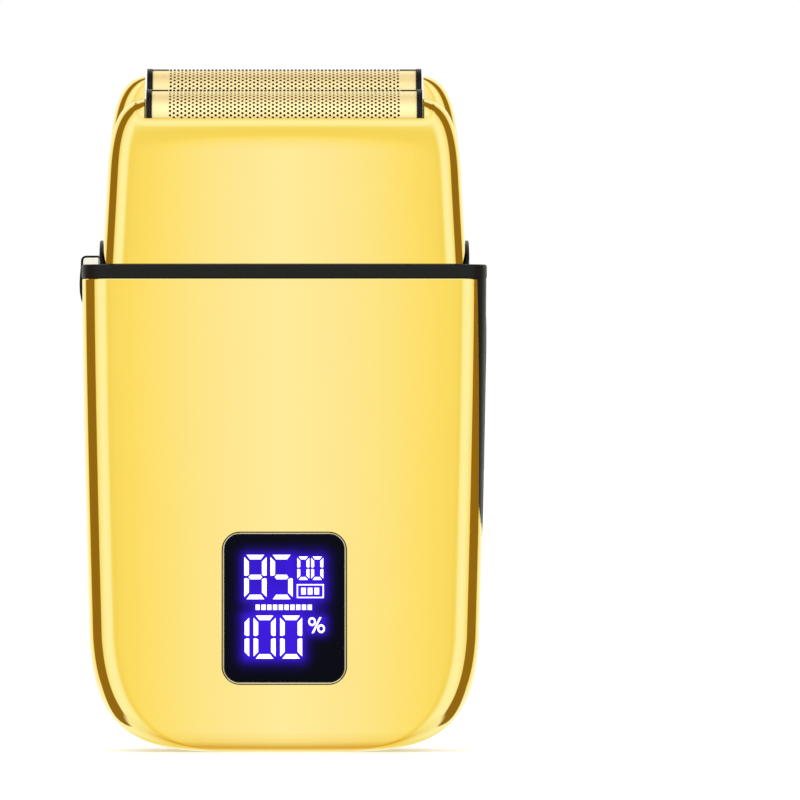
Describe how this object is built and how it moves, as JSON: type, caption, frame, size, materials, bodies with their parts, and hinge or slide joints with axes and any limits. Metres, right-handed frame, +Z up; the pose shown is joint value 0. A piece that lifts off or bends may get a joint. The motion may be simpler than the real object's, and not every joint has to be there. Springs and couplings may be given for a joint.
{
  "type": "foil shaver",
  "caption": "Cordless barber foil shaver: flat gold handle with a display and side keys, and a lift-off head with arched foils over oscillating cutters.",
  "frame": {"origin": "middle of the foot that the shaver stands on", "axes": "+Z up along the shaver towards the foils, +X to the right seen from the front, and the display faces -Y"},
  "size_m": [0.0707, 0.0242, 0.119],
  "materials": {
    "gold_shell": "polished",
    "gold_foil": "satin",
    "black_satin": "satin",
    "panel_black": "gloss",
    "polished_rim": "polished",
    "display_glass": "gloss",
    "display_glow": "gloss",
    "circuit_board": "satin",
    "steel": "satin",
    "nickel": "polished",
    "cell_wrap": "gloss",
    "seal_rubber": "matte",
    "white_nylon": "satin"
  },
  "bodies": {
    "handle": {"front_shell": "gold_shell", "rear_shell": "gold_shell", "collar": "black_satin", "right_side_panel": "black_satin", "left_side_trim": "black_satin", "control_panel": "panel_black", "button_board": "circuit_board", "button_switches": "steel", "latch_pin": "steel", "display_bezel": "polished_rim", "display_lens": "display_glass", "display_module": "circuit_board", "chassis": "black_satin", "chassis_screws": "steel", "motor_can": "steel", "motor_end_bell": "white_nylon", "motor_screws": "steel", "battery_cell": "cell_wrap", "battery_tabs": "nickel", "main_board": "circuit_board", "charge_socket": "black_satin", "charge_pins": "nickel", "shell_screws": "steel", "drive_seal": "seal_rubber"},
    "rotor": {"motor_shaft": "steel", "eccentric_cam": "white_nylon"},
    "bridge": {"drive_bridge": "white_nylon", "front_cutter_spring": "steel", "rear_cutter_spring": "steel"},
    "front_cutter_unit": {"front_cutter": "steel", "front_cutter_holder": "white_nylon"},
    "rear_cutter_unit": {"rear_cutter": "steel", "rear_cutter_holder": "white_nylon"},
    "head": {"head_front_shell": "gold_shell", "head_rear_shell": "gold_shell", "head_frame": "black_satin"},
    "front_foil_unit": {"front_foil": "gold_foil", "front_foil_carrier": "black_satin"},
    "rear_foil_unit": {"rear_foil": "gold_foil", "rear_foil_carrier": "black_satin"},
    "latch": {"release_latch": "black_satin", "release_latch_face": "polished_rim"},
    "power_key": {"power_button": "panel_black"},
    "speed_up_key": {"speed_up_button": "panel_black"},
    "speed_down_key": {"speed_down_button": "panel_black"}
  },
  "joints": [
    {"name": "head_lift", "type": "slide", "parent": "handle", "child": "head", "axis": [0, 0, 1], "range_m": [0, 0.036]},
    {"name": "front_foil_float", "type": "slide", "parent": "head", "child": "front_foil_unit", "axis": [0, 0, -1], "range_m": [0, 0.0012], "stiffness_N_per_m": 300, "springref_m": -0.002},
    {"name": "rear_foil_float", "type": "slide", "parent": "head", "child": "rear_foil_unit", "axis": [0, 0, -1], "range_m": [0, 0.0012], "stiffness_N_per_m": 300, "springref_m": -0.002},
    {"name": "motor_spin", "type": "hinge", "parent": "handle", "child": "rotor", "pos_m": [0, 0, 0.06], "axis": [0, 0, 1], "continuous": true},
    {"name": "bridge_stroke", "type": "slide", "parent": "handle", "child": "bridge", "axis": [1, 0, 0], "range_m": [-0.00095, 0.00095], "stiffness_N_per_m": 500},
    {"name": "front_cutter_float", "type": "slide", "parent": "bridge", "child": "front_cutter_unit", "axis": [0, 0, -1], "range_m": [0, 0.0012], "deforming": ["front_cutter_spring"]},
    {"name": "rear_cutter_float", "type": "slide", "parent": "bridge", "child": "rear_cutter_unit", "axis": [0, 0, -1], "range_m": [0, 0.0012], "deforming": ["rear_cutter_spring"]},
    {"name": "latch_rock", "type": "hinge", "parent": "handle", "child": "latch", "pos_m": [-0.0343, 0, 0.083], "axis": [0, -1, 0], "range_deg": [0, 6], "stiffness_Nm_per_rad": 0.02, "springref_deg": -8.59},
    {"name": "power_press", "type": "slide", "parent": "handle", "child": "power_key", "axis": [-1, 0, 0], "range_m": [0, 0.0005], "stiffness_N_per_m": 800, "springref_m": -0.0005},
    {"name": "speed_up_press", "type": "slide", "parent": "handle", "child": "speed_up_key", "axis": [-1, 0, 0], "range_m": [0, 0.0005], "stiffness_N_per_m": 800, "springref_m": -0.0005},
    {"name": "speed_down_press", "type": "slide", "parent": "handle", "child": "speed_down_key", "axis": [-1, 0, 0], "range_m": [0, 0.0005], "stiffness_N_per_m": 800, "springref_m": -0.0005}
  ],
  "couplings": [
    {"joint": "front_cutter_float", "follows": "front_foil_float", "ratio": 1},
    {"joint": "rear_cutter_float", "follows": "rear_foil_float", "ratio": 1}
  ]
}
